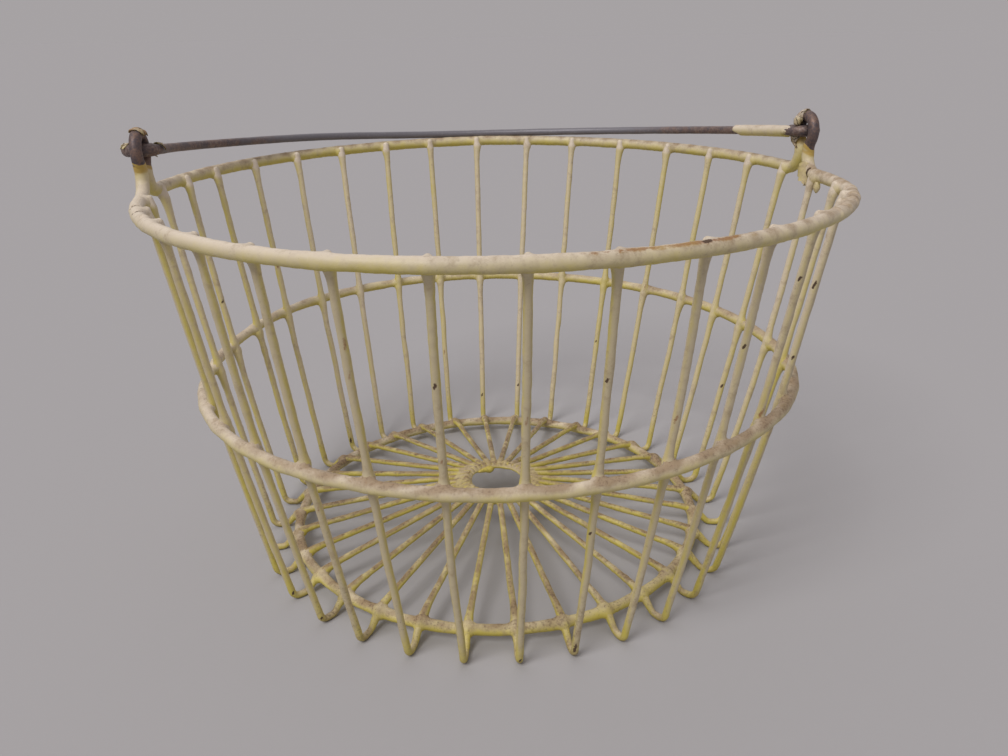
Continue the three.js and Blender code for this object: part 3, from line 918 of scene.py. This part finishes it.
# Bail: one bare steel wire, arched over the basket, with each end closed into an eye round an ear.
# Years of hands have polished it dark. It lies folded back, with its middle on the rim.
BAIL_WIRE = 2.5
BAIL_SIDES = 16
BAIL_STEP = 1.3
BAIL_LUMPS = 0.07
BAIL_ARCH = 179.0
BAIL_LEG = 2.8
BAIL_REST = math.radians(5.033)
BAIL_BOW = 1.5  # the arch is bowed up on its left side
BOW_PLACE = -105
BOW_REACH = 60
EYE_RADIUS = 8.0
EYE_END = 105.96
EYE_SWELL = 0.36  # the wire of the eyes is caked with old coat and rust
PIVOT = RIM[1] + EAR_RISE
eye_line = bend((RIM[0], EAR_LOOP), EYE_RADIUS, EYE_END, -180, 40)
arch_line = bend((0, EAR_LOOP + BAIL_LEG), BAIL_ARCH, 0, 180, 220)
bail_flat = spaced(np.concatenate([eye_line, arch_line, (eye_line * [-1, 1])[::-1]]), BAIL_STEP)


def bail_place(flat):
    bow = BAIL_BOW * np.exp(-((flat[:, 0] - BOW_PLACE) / BOW_REACH) ** 2)
    y = flat[:, 1] * math.cos(BAIL_REST) + bow * math.sin(BAIL_REST)
    z = PIVOT - flat[:, 1] * math.sin(BAIL_REST) + bow * math.cos(BAIL_REST)
    return np.stack([flat[:, 0], y, z], -1)


bail_path, bail_radius = rounded_ends(bail_place(bail_flat), BAIL_WIRE)
swell_from = np.where(bail_path[:, 0] > 0, BAIL_ARCH + 2, BAIL_ARCH - 1)
at_eye = smooth_step(0, 4, np.abs(bail_path[:, 0]) - swell_from)
bail_radius = bail_radius * (1 + EYE_SWELL * at_eye)
bail_across = np.array([[0.0, math.sin(BAIL_REST), math.cos(BAIL_REST)]])
bail_outward = sweep(bail_path, BAIL_SIDES, bail_across)
bail_uneven = lumps(run_of(bail_path), BAIL_SIDES, BAIL_LUMPS, 77) * (bail_radius / BAIL_WIRE)[:, None]
bail_rings = bail_path[:, None] + bail_outward * (bail_radius[:, None] + bail_uneven)[..., None]
bail = wire_mesh("bail_wire", bail_rings, {"brown": smooth_step(90, 185, np.abs(bail_path[:, :1]))})


# Bare steel, scuffed grey along the arch and brown towards the eyes.
def bail_steel():
    material = bpy.data.materials.new("bail_steel")
    material.use_nodes = True
    dye = Dye(material.node_tree)
    steel, patch, fine = steel_look(dye)
    colour = (dye.value("brown") + 0.9 * (patch - 0.5)).step(0.2, 0.9).mix(paint("#77747a"), steel)
    scuff = (fine + 0.4 * patch).step(0.72, 0.9) * 0.55
    colour = scuff.mix(colour, paint("#8b898a"))
    height = fine * 0.5 + patch * 0.5
    normal = dye.node("ShaderNodeBump", {}, {"Strength": 0.35, "Distance": 0.0005, "Height": height})
    surface = material.node_tree.nodes["Principled BSDF"]
    dye.feed(surface.inputs["Base Color"], colour)
    dye.feed(surface.inputs["Metallic"], 0.4 + 0.2 * scuff)
    dye.feed(surface.inputs["Roughness"], 0.4 + 0.25 * patch)
    dye.feed(surface.inputs["Normal"], normal)
    return material


bail.data.materials.append(bail_steel())
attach(bail, "bail")
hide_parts("bail")

# Coat left on the bail: a sleeve of the same cream coat beside the right eye, torn to a point,
# and rags of skin on the left eye and its neck. They cling to the wire and swing with it.
SLEEVE_SIDES = 16
SLEEVE_STEP = 0.8
SLEEVE_END = 18.5  # degrees along the arch
SLEEVE_THICK = 1.2
SLEEVE_SINK = 0.3  # a torn end dips into the wire
SLEEVE_EDGE = 0.012
EYE_SKIN_THICK = 0.45
NECK_SKIN_THICK = 0.35
eye_part = bend((RIM[0], EAR_LOOP), EYE_RADIUS, -140, -180)
arch_part = bend((0, EAR_LOOP + BAIL_LEG), BAIL_ARCH, 0, SLEEVE_END, 60)
sleeve_path = bail_place(spaced(np.concatenate([eye_part, arch_part]), SLEEVE_STEP))
sleeve_run = run_of(sleeve_path)
sleeve_share = (sleeve_run / sleeve_run[-1])[:, None]
sleeve_out = sweep(sleeve_path, SLEEVE_SIDES, bail_across)
sleeve_turn = 2 * math.pi * np.arange(SLEEVE_SIDES) / SLEEVE_SIDES
sleeve_stop = 0.915 + 0.05 * np.cos(sleeve_turn + 0.4) + 0.015 * np.sin(3 * sleeve_turn)
sleeve_start = 0.06 + 0.02 * np.sin(2 * sleeve_turn) + 0.025 * np.sin(5 * sleeve_turn + 1)
left = smooth_step(0, SLEEVE_EDGE, sleeve_stop - sleeve_share)
left = left * smooth_step(0, SLEEVE_EDGE, sleeve_share - sleeve_start)
sleeve_lumps = lumps(sleeve_run, SLEEVE_SIDES, 0.14, 5)
sleeve_thick = BAIL_WIRE - SLEEVE_SINK + SLEEVE_THICK * left + sleeve_lumps * left
sleeve = wire_mesh("bail_sleeve", sleeve_path[:, None] + sleeve_out * sleeve_thick[..., None], {
    "up": sleeve_out[..., 2],
    "dust": 0.15 + 0.3 * smooth_step(0.3, 1.0, sleeve_out[..., 2]),
    "rust": 0.3 * smooth_step(0.3, 0.08, sleeve_share),
    "tint": 0.3,
    "edge": 0.35 * smooth_step(0.85, 1.0, sleeve_share),
})


def rag(piece):
    piece.data.materials.append(coat)
    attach(piece, "bail")


rag(sleeve)
eye_wire = BAIL_WIRE * (1 + EYE_SWELL) + 0.05
left_eye = bail_place(bend((-RIM[0], EAR_LOOP), EYE_RADIUS, 120, 232, 14))
rag(torn_shell("left_eye_skin", left_eye, bail_across, eye_wire, EYE_SKIN_THICK, -60, 60,
               jag=24, seed=21, values={"dust": 0.4, "rust": 0.35}))
left_neck = bail_place(np.concatenate([
    bend((-RIM[0], EAR_LOOP), EYE_RADIUS, -22, 0),
    bend((0, EAR_LOOP + BAIL_LEG), BAIL_ARCH, 180, 179.8),
]))
rag(torn_shell("left_neck_skin", left_neck, bail_across, eye_wire, NECK_SKIN_THICK, -150, 70,
               jag=26, seed=22, values={"dust": 0.6, "rust": 0.45},
               taper=(0.35, 1, 0.6, 0.85, 0.3), flare=-0.7))

# Stage: a plain pale floor under soft studio light, seen as the photograph sees the basket.
# The floor is one wide matt sheet. A broad lamp lights it from the left front and a weak one from behind.
FLOOR_REACH = 60
SKY_LIGHT = 0.44
SKY_SEEN = 0.412  # the same tone as the floor
floor_corners = [(x * FLOOR_REACH, y * FLOOR_REACH, 0) for x, y in ((-1, -1), (1, -1), (1, 1), (-1, 1))]
floor_mesh = bpy.data.meshes.new("floor")
floor_mesh.from_pydata(floor_corners, [], [(0, 1, 2, 3)])
floor = bpy.data.objects.new("floor", floor_mesh)
bpy.context.collection.objects.link(floor)
floor_paint = bpy.data.materials.new("floor_paint")
floor_paint.use_nodes = True
floor_surface = floor_paint.node_tree.nodes["Principled BSDF"]
floor_surface.inputs["Base Color"].default_value = paint("#a9a7a9")
floor_surface.inputs["Roughness"].default_value = 0.9
floor_surface.inputs["Specular IOR Level"].default_value = 0.0
floor_mesh.materials.append(floor_paint)


def lamp(name, place, spread, strength, tone):
    light = bpy.data.lights.new(name, "SUN")
    light.angle = math.radians(spread)
    light.energy = strength
    light.color = tone
    holder = bpy.data.objects.new(name, light)
    x, y, z = place
    holder.rotation_euler = (math.atan2(math.hypot(x, y), z), 0, math.atan2(y, x) + math.pi / 2)
    bpy.context.collection.objects.link(holder)


lamp("key_lamp", (-0.48, -0.48, 0.82), 26, 1.8, (1.0, 0.985, 0.965))
lamp("back_lamp", (-0.2, 0.6, 0.9), 70, 0.45, (1.0, 0.985, 0.97))
world = bpy.data.worlds.new("studio")
bpy.context.scene.world = world
world.use_nodes = True
sky = world.node_tree.nodes["Background"]
sky.inputs["Color"].default_value = paint("#f7f1f3")
backdrop = Dye(world.node_tree)
seen = backdrop.node("ShaderNodeLightPath", {}, {}, "Is Camera Ray")
for ray in ("Is Glossy Ray", "Is Transmission Ray"):
    seen = backdrop.math("MAXIMUM", seen, backdrop.node("ShaderNodeLightPath", {}, {}, ray))
backdrop.feed(sky.inputs["Strength"], SKY_LIGHT - (SKY_LIGHT - SKY_SEEN) * seen)

CAMERA_PLACE = (-0.06115, -0.47657, 0.29697)  # metres
CAMERA_AHEAD = np.array([0.1286, 0.9148, -0.3830])
CAMERA_ROLL = -0.0132
CAMERA_LENS = 29.79
CAMERA_NEAR = 0.01
ahead = CAMERA_AHEAD / np.linalg.norm(CAMERA_AHEAD)
level = np.cross(ahead, upright)
level /= np.linalg.norm(level)
above = np.cross(level, ahead)
right = level * math.cos(CAMERA_ROLL) + above * math.sin(CAMERA_ROLL)
over = -level * math.sin(CAMERA_ROLL) + above * math.cos(CAMERA_ROLL)
camera_data = bpy.data.cameras.new("camera")
camera_data.lens = CAMERA_LENS
camera_data.sensor_fit = "HORIZONTAL"
camera_data.clip_start = CAMERA_NEAR
camera = bpy.data.objects.new("camera", camera_data)
matrix = np.eye(4)
matrix[:3, 0], matrix[:3, 1], matrix[:3, 2], matrix[:3, 3] = right, over, -ahead, CAMERA_PLACE
camera.matrix_world = matrix.T
bpy.context.collection.objects.link(camera)
bpy.context.scene.camera = camera
bpy.context.scene.view_settings.view_transform = "Standard"
